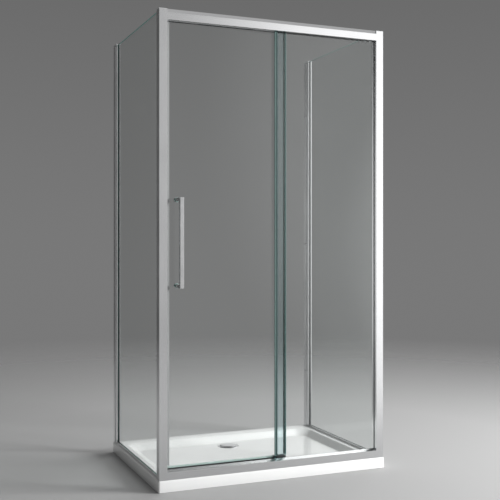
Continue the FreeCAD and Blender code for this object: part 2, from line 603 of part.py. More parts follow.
for side, outer, sign in (("left", LEFT, "+"), ("right", RIGHT, "-")):
    face = mirrored if side == "right" else list

    def across(distance):
        """A distance from the outer face of this side, towards the middle."""
        return f"({outer} {sign} ({distance}))"

    def span(near, far):
        """The lower and the higher end of a stretch across this side."""
        ends = (across(near), across(far))
        return ends if side == "left" else ends[::-1]

    def crosswise(wide, near, far, high):
        """A rod across this side, at the line of the adjusting screws."""
        low = span(near, far)[0]
        return rod(wide, f"({far}) - ({near})", (low, f"{WALL} - adjust_back", high), "+X")

    wall_holes = [rod("wall_hole", "channel_wall + 2",
                      (across("profile_wide / 2"), f"{WALL} - channel_wall - 1", high), "+Y")
                  for high in wall_heights]
    hole = "adjust_wide + 2 * screw_gap"
    channel_holes = [crosswise(hole, "profile_wide - channel_wall - 0.1", "profile_wide + 1", high)
                     for high in adjust_heights]
    jamb_holes = [crosswise(hole, f"{jamb_in} - jamb_wall - 1", f"{jamb_in} + 0.1", high)
                  for high in adjust_heights]
    node(f"wall_channel_{side}", cut(
        extrusion("XY_Plane", face(channel), PROFILE_LONG, (outer, WALL, BASE)),
        *wall_holes, *channel_holes))
    node(f"wall_jamb_{side}", cut(
        extrusion("XY_Plane", face(jamb), PROFILE_LONG, (outer, WALL, BASE)), *jamb_holes))

    low, high_x = span("0", "profile_wide")
    wall_caps.append(box((low, JAMB_FRONT, f"{TOP} - cap_thick"), (high_x, WALL, TOP)))
    for high in adjust_heights:
        adjusters.append(fuse(
            crosswise("adjust_wide", "profile_wide - adjust_reach", "profile_wide", high),
            crosswise("adjust_head", "profile_wide", "profile_wide + adjust_head_high", high)))
        adjuster_caps.append(cut(
            crosswise("adjust_cap", "profile_wide", "profile_wide + adjust_cap_high", high),
            crosswise("adjust_head + 1", "profile_wide - 1", "profile_wide + adjust_cap_high - 1.5", high)))

    low, high_x = span("side_inset", "side_inset + glass_thick")
    PANE_TOP = f"({TOP} - cap_thick - 0.2)"
    node(f"side_glass_{side}", box(
        (low, f"{POST_BACK} - slot_bite", f"{BASE} + side_glass_low"),
        (high_x, f"{JAMB_FRONT} + slot_bite", PANE_TOP)))
    strips = []
    for near, far in ((slot_out, "side_inset"), ("side_inset + glass_thick", slot_in)):
        low, high_x = span(near, far)
        for start, end in ((f"{POST_BACK} - slot_bite", POST_BACK),
                           (JAMB_FRONT, f"{JAMB_FRONT} + slot_bite")):
            strips.append(box((low, start, BASE), (high_x, end, PANE_TOP)))
    node(f"side_gaskets_{side}", group(*strips))
    groove = ("side_inset - sill_pad", "side_inset + glass_thick + sill_pad")
    sill = [[(slot_out, "0"), (slot_in, "0"), (slot_in, "sill_high"), (groove[1], "sill_high"),
             (groove[1], "sill_wall"), (groove[0], "sill_wall"), (groove[0], "sill_high"),
             (slot_out, "sill_high")]]
    node(f"side_sill_{side}", extrusion(
        "XZ_Plane", face(sill), f"{JAMB_FRONT} - {POST_BACK}", (outer, JAMB_FRONT, BASE)))

node("wall_caps", group(*wall_caps))
node("jamb_screws", group(*adjusters))
node("jamb_screw_caps", group(*adjuster_caps))

# ---------------------------------------------------------------- header and bottom rail
SPAN = f"{INNER_RIGHT} - {INNER_LEFT}"
header_section = [[
    ("0", "0"), ("0", "header_face"), ("header_step", "header_face"),
    ("header_step + header_lean", "header_high"), ("header_deep", "header_high"),
    ("header_deep", "header_lip"), ("header_deep - header_wall", "header_lip"),
    ("header_deep - header_wall", "shelf_high"), ("track_inset - track_wide / 2", "shelf_high"),
    ("track_inset - track_wide / 2", "track_high"), ("track_inset + track_wide / 2", "track_high"),
    ("track_inset + track_wide / 2", "shelf_high + header_wall"),
    ("header_deep - header_wall", "shelf_high + header_wall"),
    ("header_deep - header_wall", "header_high - header_wall"),
    ("header_step + header_lean + header_wall", "header_high - header_wall"),
    ("header_step + header_wall", "header_face"), ("header_step + header_wall", "header_wall"),
    (f"{fixed_out} - header_wall", "header_wall"),
    (f"{fixed_out} - header_wall", "header_slot + header_wall"),
    (f"{fixed_in} + header_wall", "header_slot + header_wall"), (f"{fixed_in} + header_wall", "0"),
    (fixed_in, "0"), (fixed_in, "header_slot"), (fixed_out, "header_slot"), (fixed_out, "0")]]
node("header_rail", extrusion("YZ_Plane", header_section, SPAN, (INNER_LEFT, FRONT, UNDER)))

rail_section = [
    [("0", "0"), ("0", "rail_face"), (fixed_out, "rail_high"), (fixed_out, "rail_seat"),
     (fixed_in, "rail_seat"), (fixed_in, "rail_lip"), (f"{fixed_in} + rail_wall", "rail_lip"),
     (f"{fixed_in} + rail_wall", "0")],
    [("rail_wall", "rail_wall"), ("rail_wall", "rail_face - rail_wall / 2"),
     (f"{fixed_out} - rail_wall", "rail_high - rail_wall * 1.6"),
     (f"{fixed_out} - rail_wall", "rail_seat - rail_wall"), (fixed_in, "rail_seat - rail_wall"),
     (fixed_in, "rail_wall")],
]
GUIDE_LEFT = f"({FIXED_LEFT} - guide_lead)"
GUIDE_FRONT = f"({FRONT} + {fixed_in} + rail_wall)"
guide_screw_places = [f"({GUIDE_LEFT} + guide_long / 2 {sign} guide_screw_pitch / 2)" for sign in "-+"]
node("bottom_rail", cut(
    extrusion("YZ_Plane", rail_section, SPAN, (INNER_LEFT, FRONT, BASE)),
    *[rod("joint_shank + 2 * screw_gap", "rail_wall + 2",
          (x, f"{GUIDE_FRONT} - rail_wall - 1", f"{BASE} + guide_screw_high"), "+Y")
      for x in guide_screw_places]))

infill_out = f"({fixed_out} + infill_gap)"
infill_in = f"({fixed_in} - infill_gap)"
INFILL_LONG = f"{FIXED_LEFT} - clip_nose - 0.5 - {INNER_LEFT}"
node("rail_infill", extrusion("YZ_Plane", [[
    (infill_out, "rail_high - 0.2"), (infill_in, "rail_lip + 2.5"),
    (infill_in, "rail_high - infill_high"), (f"{infill_in} - infill_wall", "rail_high - infill_high"),
    (f"{infill_in} - infill_wall", "rail_lip + 1"),
    (f"{infill_out} + infill_wall", "rail_high - 0.2 - infill_wall"),
    (f"{infill_out} + infill_wall", "rail_high - infill_high"),
    (infill_out, "rail_high - infill_high")]], INFILL_LONG, (INNER_LEFT, FRONT, BASE)))
node("header_infill", extrusion("YZ_Plane", [[
    (infill_out, "0.2"), (infill_in, "0.2"), (infill_in, "infill_high"),
    (f"{infill_in} - infill_wall", "infill_high"), (f"{infill_in} - infill_wall", "infill_wall"),
    (f"{infill_out} + infill_wall", "infill_wall"), (f"{infill_out} + infill_wall", "infill_high"),
    (infill_out, "infill_high")]], INFILL_LONG, (INNER_LEFT, FRONT, UNDER)))

# ---------------------------------------------------------------- corner joints
for name, base, wall in (("rail", BASE, "rail_wall"), ("header", UNDER, "header_wall")):
    blocks = []
    for start, end in ((INNER_LEFT, f"{INNER_LEFT} + joint_long"),
                       (f"{INNER_RIGHT} - joint_long", INNER_RIGHT)):
        blocks.append(cut(
            box((start, f"{FRONT} + joint_line - joint_wide / 2", f"{base} + {wall} + 0.1"),
                (end, f"{FRONT} + joint_line + joint_wide / 2",
                 f"{base} + joint_low + joint_pitch + 5")),
            *[rod("joint_shank + screw_gap", "joint_long + 2",
                  (f"{start} - 1", f"{FRONT} + joint_line",
                   f"{base} + joint_low + {k} * joint_pitch"), "+X") for k in (0, 1)]))
    node(f"{name}_end_blocks", group(*blocks))

joint_screws = []
for high in joint_heights:
    line = f"{FRONT} + joint_line"
    for shank, head in (
            (f"{INNER_LEFT} - post_wall", f"{INNER_LEFT} - post_wall - joint_head_high"),
            (f"{INNER_RIGHT} + post_wall - joint_reach", f"{INNER_RIGHT} + post_wall")):
        joint_screws.append(fuse(
            rod("joint_shank", "joint_reach", (shank, line, high), "+X"),
            rod("joint_head", "joint_head_high", (head, line, high), "+X")))
node("corner_screws", group(*joint_screws))

# ---------------------------------------------------------------- fixed front pane
FIXED_FRONT = f"({FRONT} + fixed_inset)"
FIXED_BACK = f"({FIXED_FRONT} + glass_thick)"
FIXED_LOW = f"({BASE} + rail_seat + block_high)"
FIXED_TOP = f"({UNDER} + header_bite)"
node("fixed_front_glass", box(
    (FIXED_LEFT, FIXED_FRONT, FIXED_LOW), (f"{INNER_RIGHT} + slot_bite", FIXED_BACK, FIXED_TOP)))
strips = []
for start, end in ((f"{FIXED_FRONT} - gasket_thick", FIXED_FRONT),
                   (FIXED_BACK, f"{FIXED_BACK} + gasket_thick")):
    lip = "rail_high" if end == FIXED_FRONT else "rail_lip"
    strips.append(box((INNER_RIGHT, start, FIXED_LOW), (f"{INNER_RIGHT} + slot_bite", end, FIXED_TOP)))
    strips.append(box((f"{FIXED_LEFT} + 2", start, FIXED_LOW), (INNER_RIGHT, end, f"{BASE} + {lip}")))
    strips.append(box((f"{FIXED_LEFT} + 2", start, UNDER), (INNER_RIGHT, end, FIXED_TOP)))
node("fixed_glass_gaskets", group(*strips))
node("setting_blocks", group(*[
    box((x, FIXED_FRONT, f"{BASE} + rail_seat"), (f"{x} + block_long", FIXED_BACK, FIXED_LOW))
    for x in (f"{FIXED_LEFT} + block_inset", f"{INNER_RIGHT} - block_inset - block_long")]))

SEAL_LOW = f"({BASE} + seal_start)"
SEAL_LONG = f"{SEAL_TOP} - {SEAL_LOW}"
# clip on the pane's left edge with a fin that reaches back towards the door
node("fixed_edge_seal", extrusion("XY_Plane", [[
    ("-clip_nose", "-clip_wall"), ("clip_grip", "-clip_wall"), ("clip_grip", "0"), ("0", "0"),
    ("0", "glass_thick"), ("clip_grip", "glass_thick"), ("clip_grip", "glass_thick + clip_wall"),
    ("2", "glass_thick + clip_wall"),
    ("4", "door_inset - fixed_inset - seal_gap"), ("2.8", "door_inset - fixed_inset - seal_gap"),
    ("0.8", "glass_thick + clip_wall"), ("-clip_nose", "glass_thick + clip_wall")]],
    SEAL_LONG, (FIXED_LEFT, FIXED_FRONT, SEAL_LOW)))

# ---------------------------------------------------------------- foot guide and strike
leg_front = f"(door_inset - clip_wall - guide_gap - ({fixed_in} + rail_wall))"
leg_back = f"(door_inset + glass_thick + clip_wall + guide_gap - ({fixed_in} + rail_wall))"
node("guide_block", cut(
    extrusion("YZ_Plane", [[
        ("0", "guide_foot"), ("0", "guide_top"), (leg_front, "guide_top"), (leg_front, "guide_floor"),
        (leg_back, "guide_floor"), (leg_back, "guide_top"), (f"{leg_back} + guide_leg", "guide_top"),
        (f"{leg_back} + guide_leg", "guide_base"), (leg_front, "guide_base"),
        (leg_front, "guide_foot")]], "guide_long", (GUIDE_LEFT, GUIDE_FRONT, BASE)),
    *[rod("joint_shank + 2 * screw_gap", "guide_leg + 4",
          (x, f"{GUIDE_FRONT} - 1", f"{BASE} + guide_screw_high"), "+Y") for x in guide_screw_places]))
node("guide_screws", group(*[
    fuse(rod("joint_shank", f"{leg_front} + 6",
             (x, f"{GUIDE_FRONT} - 6", f"{BASE} + guide_screw_high"), "+Y"),
         rod("joint_head", "joint_head_high",
             (x, f"{GUIDE_FRONT} + {leg_front}", f"{BASE} + guide_screw_high"), "+Y"))
    for x in guide_screw_places]))

DOOR_MIDDLE = f"({DOOR_FRONT} + glass_thick / 2)"
node("strike_strip", box(
    (INNER_LEFT, f"{DOOR_MIDDLE} - strike_wide / 2", f"{BASE} + 2"),
    (f"{INNER_LEFT} + strike_thick", f"{DOOR_MIDDLE} + strike_wide / 2", SEAL_TOP)))

# ---------------------------------------------------------------- door pane and its seals
bracket_lefts = [f"({DOOR_LEFT} + bracket_inset)", f"({DOOR_RIGHT} - bracket_inset - bracket_wide)"]
bracket_middles = [f"({x} + bracket_wide / 2)" for x in bracket_lefts]
bolt_places = [f"({x} {sign} bolt_pitch / 2)" for x in bracket_middles for sign in "-+"]
BOLT_HIGH = f"({UNDER} + bolt_high)"
HANDLE_X = f"({DOOR_LEFT} + handle_inset + handle_side / 2)"
leg_heights = [f"({BASE} + handle_low + leg_inset + leg_side / 2)",
               f"({BASE} + handle_low + handle_long - leg_inset - leg_side / 2)"]
node("door_glass", cut(
    box((DOOR_LEFT, DOOR_FRONT, f"{BASE} + door_low"), (DOOR_RIGHT, DOOR_BACK, f"{UNDER} + door_top")),
    *[rod("pane_hole", "glass_thick + 2", (x, f"{DOOR_FRONT} - 1", BOLT_HIGH), "+Y")
      for x in bolt_places],
    *[rod("handle_hole", "glass_thick + 2", (HANDLE_X, f"{DOOR_FRONT} - 1", high), "+Y")
      for high in leg_heights]))

node("door_magnet_seal", extrusion("XY_Plane", [[
    ("strike_thick + strike_gap - door_gap", "-clip_wall"), ("clip_grip", "-clip_wall"),
    ("clip_grip", "0"), ("0", "0"), ("0", "glass_thick"), ("clip_grip", "glass_thick"),
    ("clip_grip", "glass_thick + clip_wall"),
    ("strike_thick + strike_gap - door_gap", "glass_thick + clip_wall")]],
    SEAL_LONG, (DOOR_LEFT, DOOR_FRONT, SEAL_LOW)))
node("door_edge_seal", extrusion("XY_Plane", [[
    ("clip_nose", "glass_thick + clip_wall"), ("-clip_grip", "glass_thick + clip_wall"),
    ("-clip_grip", "glass_thick"), ("0", "glass_thick"), ("0", "0"), ("-clip_grip", "0"),
    ("-clip_grip", "-clip_wall"), ("-2", "-clip_wall"),
    ("-4", "fixed_inset + glass_thick + seal_gap - door_inset"),
    ("-2.8", "fixed_inset + glass_thick + seal_gap - door_inset"), ("-0.8", "-clip_wall"),
    ("clip_nose", "-clip_wall")]], SEAL_LONG, (DOOR_RIGHT, DOOR_FRONT, SEAL_LOW)))
node("door_bottom_seal", extrusion("YZ_Plane", [[
    ("-clip_wall", "bottom_seal_top"), ("0", "bottom_seal_top"), ("0", "door_low"),
    ("glass_thick", "door_low"), ("glass_thick", "bottom_seal_top"),
    ("glass_thick + clip_wall", "bottom_seal_top"), ("glass_thick + clip_wall", "bottom_seal_low"),
    ("clip_wall", "bottom_seal_low"), ("clip_wall", "blade_low"), ("0", "blade_low"),
    ("-clip_wall", "bottom_seal_low")]],
    f"{DOOR_RIGHT} - {DOOR_LEFT}", (DOOR_LEFT, DOOR_FRONT, BASE)))

# ---------------------------------------------------------------- handle
BAR_BACK = f"({DOOR_FRONT} - handle_reach)"
bar = box((f"{HANDLE_X} - handle_side / 2", f"{BAR_BACK} - handle_side", f"{BASE} + handle_low"),
          (f"{HANDLE_X} + handle_side / 2", BAR_BACK, f"{BASE} + handle_low + handle_long"))
doc.recompute()
softened = doc.addObject("Part::Fillet", "handle_edges")
softened.Base = bar
edge_radius = float(sheet.get("handle_round"))
softened.Edges = [(number, edge_radius, edge_radius) for number in range(1, 13)]
node("handle_bar", softened)

LEG_END = f"({DOOR_FRONT} - washer_thick)"
legs, washers, knobs, screws = [], [], [], []
for high in leg_heights:
    legs.append(cut(
        box((f"{HANDLE_X} - leg_side / 2", BAR_BACK, f"{high} - leg_side / 2"),
            (f"{HANDLE_X} + leg_side / 2", LEG_END, f"{high} + leg_side / 2")),
        rod("handle_screw + 2 * axle_gap", "handle_screw_deep + 1",
            (HANDLE_X, f"{LEG_END} - handle_screw_deep", high), "+Y")))
    for face_y in (LEG_END, DOOR_BACK):
        washers.append(cut(
            rod("washer_wide", "washer_thick", (HANDLE_X, face_y, high), "+Y"),
            rod("handle_screw + 2 * screw_gap", "washer_thick + 2", (HANDLE_X, f"{face_y} - 1", high),
                "+Y")))
    knob_start = f"({DOOR_BACK} + washer_thick)"
    knobs.append(cut(
        rod("knob_wide", "knob_thick", (HANDLE_X, knob_start, high), "+Y"),
        rod("handle_screw + 2 * axle_gap", "handle_screw_knob + 1",
            (HANDLE_X, f"{knob_start} - 1", high), "+Y")))
    screws.append(rod(
        "handle_screw", f"{knob_start} + handle_screw_knob - {LEG_END} + handle_screw_deep - 1",
        (HANDLE_X, f"{LEG_END} - handle_screw_deep + 0.5", high), "+Y"))
node("handle_legs", group(*legs))
node("handle_washers", group(*washers))
node("handle_knobs", group(*knobs))
node("handle_screws", group(*screws))

# ---------------------------------------------------------------- roller carriages
AXLE_HIGH = f"({UNDER} + track_high + track_gap + groove_wide / 2)"
ROLLER_FRONT = f"({FRONT} + track_inset - roller_thick / 2)"
axle_places = [f"({x} {sign} roller_pitch / 2)" for x in bracket_middles for sign in "-+"]
half_wide = "(bracket_wide / 2)"
for side, middle in zip(("left", "right"), bracket_middles):
    plate = extrusion("XZ_Plane", [[
        (f"-{half_wide}", "bracket_low"), (half_wide, "bracket_low"),
        (half_wide, "bracket_top - bracket_cut"), (f"{half_wide} - bracket_cut", "bracket_top"),
        (f"bracket_cut - {half_wide}", "bracket_top"), (f"-{half_wide}", "bracket_top - bracket_cut")]],
        "bracket_thick", (middle, f"{DOOR_BACK} + bracket_thick", UNDER))
    holes = []
    for sign in "-+":
        holes.append(rod("bolt_wide + 2 * screw_gap", "bracket_thick + 2",
                         (f"{middle} {sign} bolt_pitch / 2", f"{DOOR_BACK} - 1", BOLT_HIGH), "+Y"))
        holes.append(rod("axle_wide + 2 * axle_gap", "bracket_thick + 2",
                         (f"{middle} {sign} roller_pitch / 2", f"{DOOR_BACK} - 1", AXLE_HIGH), "+Y"))
    node(f"roller_bracket_{side}", cut(plate, *holes))

pads, bolts = [], []
for x in bolt_places:
    pad_front = f"({DOOR_FRONT} - bolt_pad_thick)"
    pads.append(cut(
        rod("bolt_pad", "bolt_pad_thick", (x, pad_front, BOLT_HIGH), "+Y"),
        rod("bolt_wide + 2 * screw_gap", "bolt_pad_thick + 2", (x, f"{pad_front} - 1", BOLT_HIGH), "+Y")))
    stack = "(bolt_pad_thick + glass_thick + bracket_thick)"
    bolts.append(fuse(
        rod("bolt_head", "bolt_head_high", (x, f"{pad_front} - bolt_head_high", BOLT_HIGH), "+Y"),
        rod("bolt_wide", stack, (x, pad_front, BOLT_HIGH), "+Y"),
        rod("bolt_nut", "bolt_nut_high", (x, f"{pad_front} + {stack}", BOLT_HIGH), "+Y")))
node("bracket_pads", group(*pads))
node("bracket_bolts", group(*bolts))

SHOULDER = "(track_inset - roller_thick / 2 - roller_play - door_inset - glass_thick)"
axle_section = [
    ("0", "0.3"), ("axle_wide / 2", "0.3"), ("axle_wide / 2", "bracket_thick"),
    ("axle_head / 2", "bracket_thick"), ("axle_head / 2", SHOULDER), ("axle_wide / 2", SHOULDER),
    ("axle_wide / 2", f"{SHOULDER} + roller_thick + 2 * roller_play"),
    ("axle_head / 2", f"{SHOULDER} + roller_thick + 2 * roller_play"),
    ("axle_head / 2", f"{SHOULDER} + roller_thick + 2 * roller_play + axle_head_thick"),
    ("0", f"{SHOULDER} + roller_thick + 2 * roller_play + axle_head_thick")]
node("roller_axles", group(*[
    turned("XY_Plane", axle_section, (x, DOOR_BACK, AXLE_HIGH)) for x in axle_places]))
groove_half = "(track_wide / 2 + groove_gap)"
roller_half = "(roller_thick / 2)"
roller_section = [
    ("axle_wide / 2 + axle_gap", "0"), ("roller_wide / 2", "0"),
    ("roller_wide / 2", f"{roller_half} - {groove_half} - 0.4"),
    ("groove_wide / 2", f"{roller_half} - {groove_half}"),
    ("groove_wide / 2", f"{roller_half} + {groove_half}"),
    ("roller_wide / 2", f"{roller_half} + {groove_half} + 0.4"),
    ("roller_wide / 2", "roller_thick"), ("axle_wide / 2 + axle_gap", "roller_thick")]
for number, x in enumerate(axle_places, start=1):
    node(f"roller_{number}", turned("XY_Plane", roller_section, (x, ROLLER_FRONT, AXLE_HIGH)))
node("anti_lift_clips", group(*[
    box((f"{x} - clip_wide / 2", f"{DOOR_BACK} + bracket_thick", f"{UNDER} + clip_low"),
        (f"{x} + clip_wide / 2", f"{DOOR_BACK} + bracket_thick + clip_deep", f"{UNDER} + clip_top"))
    for x in bracket_middles]))

STOP_BACK = f"({FRONT} + header_deep - header_wall)"
open_stop = f"({bracket_lefts[1]} + bracket_wide + slide_travel + seal_gap)"
closed_stop = f"({bracket_lefts[0]} - seal_gap - stop_long)"
for name, start in (("track_stop_open", open_stop), ("track_stop_closed", closed_stop)):
    node(name, box((start, f"{FRONT} + stop_front", f"{UNDER} + stop_low"),
                   (f"{start} + stop_long", STOP_BACK, f"{UNDER} + stop_low + stop_high")))

# ---------------------------------------------------------------- check and write
doc.recompute()
faults = [item.Label for item in doc.Objects if {"Invalid", "Error"} & set(item.State)]
faults += [item.Label for item in nodes if item.Shape.isNull() or not item.Shape.isValid()]
if faults:
    raise RuntimeError("failed: " + ", ".join(faults))
os.makedirs("parts", exist_ok=True)
for item in nodes:
    item.Shape.exportStep(f"parts/{item.Label}.step")
    print(item.Label, len(item.Shape.Solids), round(item.Shape.Volume))
print(len(nodes), "nodes")
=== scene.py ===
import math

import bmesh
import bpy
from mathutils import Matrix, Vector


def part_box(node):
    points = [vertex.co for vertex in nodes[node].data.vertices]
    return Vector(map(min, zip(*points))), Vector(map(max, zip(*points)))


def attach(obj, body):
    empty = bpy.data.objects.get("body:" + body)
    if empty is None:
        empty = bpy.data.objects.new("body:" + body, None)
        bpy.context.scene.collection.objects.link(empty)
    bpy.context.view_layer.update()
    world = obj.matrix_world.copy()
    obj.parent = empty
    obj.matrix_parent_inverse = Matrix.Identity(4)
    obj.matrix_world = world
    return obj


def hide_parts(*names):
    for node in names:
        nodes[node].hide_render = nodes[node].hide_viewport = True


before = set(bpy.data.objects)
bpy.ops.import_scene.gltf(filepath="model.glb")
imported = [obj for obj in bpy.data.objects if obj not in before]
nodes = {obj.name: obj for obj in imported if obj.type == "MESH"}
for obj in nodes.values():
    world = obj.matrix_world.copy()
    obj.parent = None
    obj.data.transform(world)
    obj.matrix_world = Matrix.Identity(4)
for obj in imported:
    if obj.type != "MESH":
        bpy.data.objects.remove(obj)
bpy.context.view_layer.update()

# %% [markdown]
# # A glass shower enclosure, dressed for the picture
# The solids of the enclosure come in from the frame: tray, profiles, panes, rollers and handle are
# already in place and to size, in metres. This lesson gives them their looks. Most pieces keep
# their solid and get a finish. Others, such as the moulded tray and the turned chrome waste, are
# made again here as smoother meshes and stand in for the solid.
# The origin is the middle of the tray's underside, X runs left to right, Y from front to back.

MM = 0.001

# %% [markdown]
# ## Shader sums in plain Python
# A finish is a small network of nodes. Wiring dozens of Math nodes by hand hides the idea, so one
# small class wraps a socket and lets it be added, multiplied and subtracted like a number. Numbers
# go through Math nodes. Vectors go through Vector Math, because a Math node would keep only their
# average. The reflected forms are there so that 1 - mask works too.

# %% A socket that can be used in sums
class Wire:
    """The output of a shader node, ready for use in an expression."""

    def __init__(self, finish, socket):
        self.finish = finish
        self.socket = socket

    def sum_with(self, operation, first, second):
        is_vector = any(isinstance(part, Wire) and part.socket.type in ("VECTOR", "RGBA")
                        for part in (first, second))
        kind = "ShaderNodeVectorMath" if is_vector else "ShaderNodeMath"
        return self.finish.node(kind, {"operation": operation}, {0: first, 1: second})

    def __add__(self, other):
        return self.sum_with("ADD", self, other)

    def __radd__(self, other):
        return self.sum_with("ADD", other, self)

    def __sub__(self, other):
        return self.sum_with("SUBTRACT", self, other)

    def __rsub__(self, other):
        return self.sum_with("SUBTRACT", other, self)

    def __mul__(self, other):
        return self.sum_with("MULTIPLY", self, other)

    def __rmul__(self, other):
        return self.sum_with("MULTIPLY", other, self)

    def __pow__(self, other):
        return self.sum_with("POWER", self, other)

    def __abs__(self):
        return self.sum_with("ABSOLUTE", self, 0.0)

    def __gt__(self, other):
        return self.sum_with("GREATER_THAN", self, other)

    def clamped(self):
        """The value held between 0 and 1."""
        return self.finish.node("ShaderNodeClamp", {}, {"Value": self})

    def ramp(self, low, high, start=0.0, end=1.0, curve="LINEAR"):
        """The value carried from the range low-high to the range start-end."""
        return self.finish.node("ShaderNodeMapRange", {"clamp": True, "interpolation_type": curve}, {
            "Value": self, "From Min": low, "From Max": high, "To Min": start, "To Max": end})


print("sums on sockets: + - * ** abs > and ramps")

# %% [markdown]
# ## One object for each finish
# A finish starts as an empty material. One method makes every kind of node: its type, then its
# settings, because a setting can change which sockets a node has, then the value or link of each
# socket. A few helpers name what comes back in every finish: a place on the piece, stretched noise,
# a mix of two colours, a bump and the closing shader.

# %% A finish under construction
class Finish:
    """A material under construction."""

    def __init__(self, name):
        self.material = bpy.data.materials.new(name)
        self.start_tree("ShaderNodeOutputMaterial")

    def start_tree(self, end_kind):
        self.material.use_nodes = True
        self.tree = self.material.node_tree
        self.tree.nodes.clear()
        self.end = self.tree.nodes.new(end_kind)

    def node(self, kind, settings=None, sockets=None, output=0):
        """Add a node: settings come first, because they change which sockets it has."""
        made = self.tree.nodes.new(kind)
        for name, value in (settings or {}).items():
            setattr(made, name, value)
        for name, value in (sockets or {}).items():
            if isinstance(value, Wire):
                self.tree.links.new(value.socket, made.inputs[name])
            else:
                made.inputs[name].default_value = value
        return Wire(self, made.outputs[output])

    def blend(self, amount, first, second):
        """Mix two colours by an amount."""
        return self.node("ShaderNodeMix", {"data_type": "RGBA"}, {
            "Factor": amount, 6: first, 7: second}, output=2)

    def mixed(self, amount, first, second):
        """Mix two shaders by an amount."""
        return self.node("ShaderNodeMixShader", {}, {0: amount, 1: first, 2: second})

    def place(self):
        """Where a point is on the piece, in metres."""
        return self.node("ShaderNodeTexCoord", output="Object")

    def place_along(self, axis):
        return self.node("ShaderNodeSeparateXYZ", {}, {0: self.place()}, output=axis)

    def noise(self, stretch=(1, 1, 1), scale=1.0, detail=2.0, rough=0.5):
        """Cloudy variation, stretched per axis: a low number makes it long along that axis."""
        return self.node("ShaderNodeTexNoise", {}, {
            "Vector": self.place() * stretch, "Scale": scale, "Detail": detail, "Roughness": rough})

    def bump(self, height, strength, distance):
        return self.node("ShaderNodeBump", {}, {
            "Height": height, "Strength": strength, "Distance": distance})

    def glossy_body(self, **sockets):
        """A Principled shader; the underscores in the names stand for spaces."""
        names = {key.replace("_", " "): value for key, value in sockets.items()}
        return self.node("ShaderNodeBsdfPrincipled", {}, names)

    def clear_body(self, red, green, blue):
        return self.node("ShaderNodeBsdfTransparent", {}, {"Color": (red, green, blue, 1)})

    def closed_with(self, shader):
        """End in this shader and hand back the material."""
        self.tree.links.new(shader.socket, self.end.inputs["Surface"])
        return self.material


def grey(level):
    return (level, level, level, 1.0)


print("finish tools:", [name for name in vars(Finish) if not name.startswith("__")])

# %% [markdown]
# ## Bright aluminium
# The frame is made of extruded bars, polished and anodised. The die and the polishing belt leave
# very fine lines along the bar, so the noise is stretched along its length: X for the header and
# the rail, Y for the sills, Z for the posts. A flat grey would look like paint. The lines move the
# tone, the roughness and the bump a little, and a slow cloud stands for the clear oxide coat.

# %% Aluminium along each axis
LINE_LONG, LINE_FINE = 2, 900       # noise per metre, along the bar and across it
METAL_TONE, METAL_ROUGH = 0.80, 0.20


def aluminium(name, along):
    """Polished bar; along is the axis of the bar."""
    finish = Finish(name)
    grain = tuple(LINE_LONG if axis == along else LINE_FINE for axis in "XYZ")
    lines = finish.noise(grain, 1.0, 3.0, 0.6)
    cloud = finish.noise((1, 1, 1), 6.0, 2.0)
    shade = (lines - 0.5) * 0.10 + (cloud - 0.5) * 0.06
    dark = (METAL_TONE * 0.86, METAL_TONE * 0.87, METAL_TONE * 0.89, 1)
    light = grey(METAL_TONE * 1.12)
    return finish.closed_with(finish.glossy_body(
        Base_Color=finish.blend((shade + 0.5).clamped(), dark, light),
        Metallic=1.0,
        Roughness=(lines * 0.10 + cloud * 0.08 + (METAL_ROUGH - 0.08)).clamped(),
        Normal=finish.bump(lines, 0.08, 0.4 * MM)))


aluminium_across = aluminium("aluminium_across", "X")
aluminium_deep = aluminium("aluminium_deep", "Y")
aluminium_upright = aluminium("aluminium_upright", "Z")
print("aluminium finishes:", [m.name for m in (aluminium_across, aluminium_deep, aluminium_upright)])

# %% [markdown]
# ## Chrome and steel
# The handle and the waste are chrome plated: a near mirror with wiping marks and the faint haze of
# dried water. The hidden fittings are plain stainless steel, rolled and stamped, so they are
# rougher and show a crossed grain.

# %% Chrome and steel
def chrome(name, rough):
    finish = Finish(name)
    haze = finish.noise((1, 1, 1), 22.0, 4.0, 0.6)
    wipes = finish.noise((500, 60, 60), 1.0, 2.0)
    return finish.closed_with(finish.glossy_body(
        Base_Color=finish.blend(haze, (0.74, 0.75, 0.76, 1), (0.86, 0.86, 0.87, 1)),
        Metallic=1.0,
        Roughness=(haze.ramp(0.35, 0.75, rough, rough + 0.10) + wipes * 0.03).clamped(),
        Normal=finish.bump(wipes, 0.03, 0.2 * MM)))


def steel(name):
    finish = Finish(name)
    grain = finish.noise((700, 90, 90), 1.0, 3.0)
    cross = finish.noise((90, 90, 700), 1.0, 3.0)
    worn = finish.noise((1, 1, 1), 60.0, 3.0)
    return finish.closed_with(finish.glossy_body(
        Base_Color=finish.blend(worn, (0.46, 0.46, 0.47, 1), (0.66, 0.66, 0.66, 1)),
        Metallic=1.0,
        Roughness=(grain * 0.14 + cross * 0.10 + 0.22).clamped(),
        Normal=finish.bump(grain + cross, 0.10, 0.3 * MM)))


bright_chrome = chrome("bright_chrome", 0.05)
satin_chrome = chrome("satin_chrome", 0.16)
stainless = steel("stainless")
print("chrome and steel finishes:", [m.name for m in (bright_chrome, satin_chrome, stainless)])

# %% [markdown]
# ## Acrylic, nylon and rubber
# The tray is white acrylic backed with resin: glossy, with the faintest ripple. Small caps, rollers
# and blocks are moulded nylon with a fine spark texture. The buffers and glazing strips are black
# rubber with a dusty bloom. All of them are one recipe with other colours, grain and gloss.

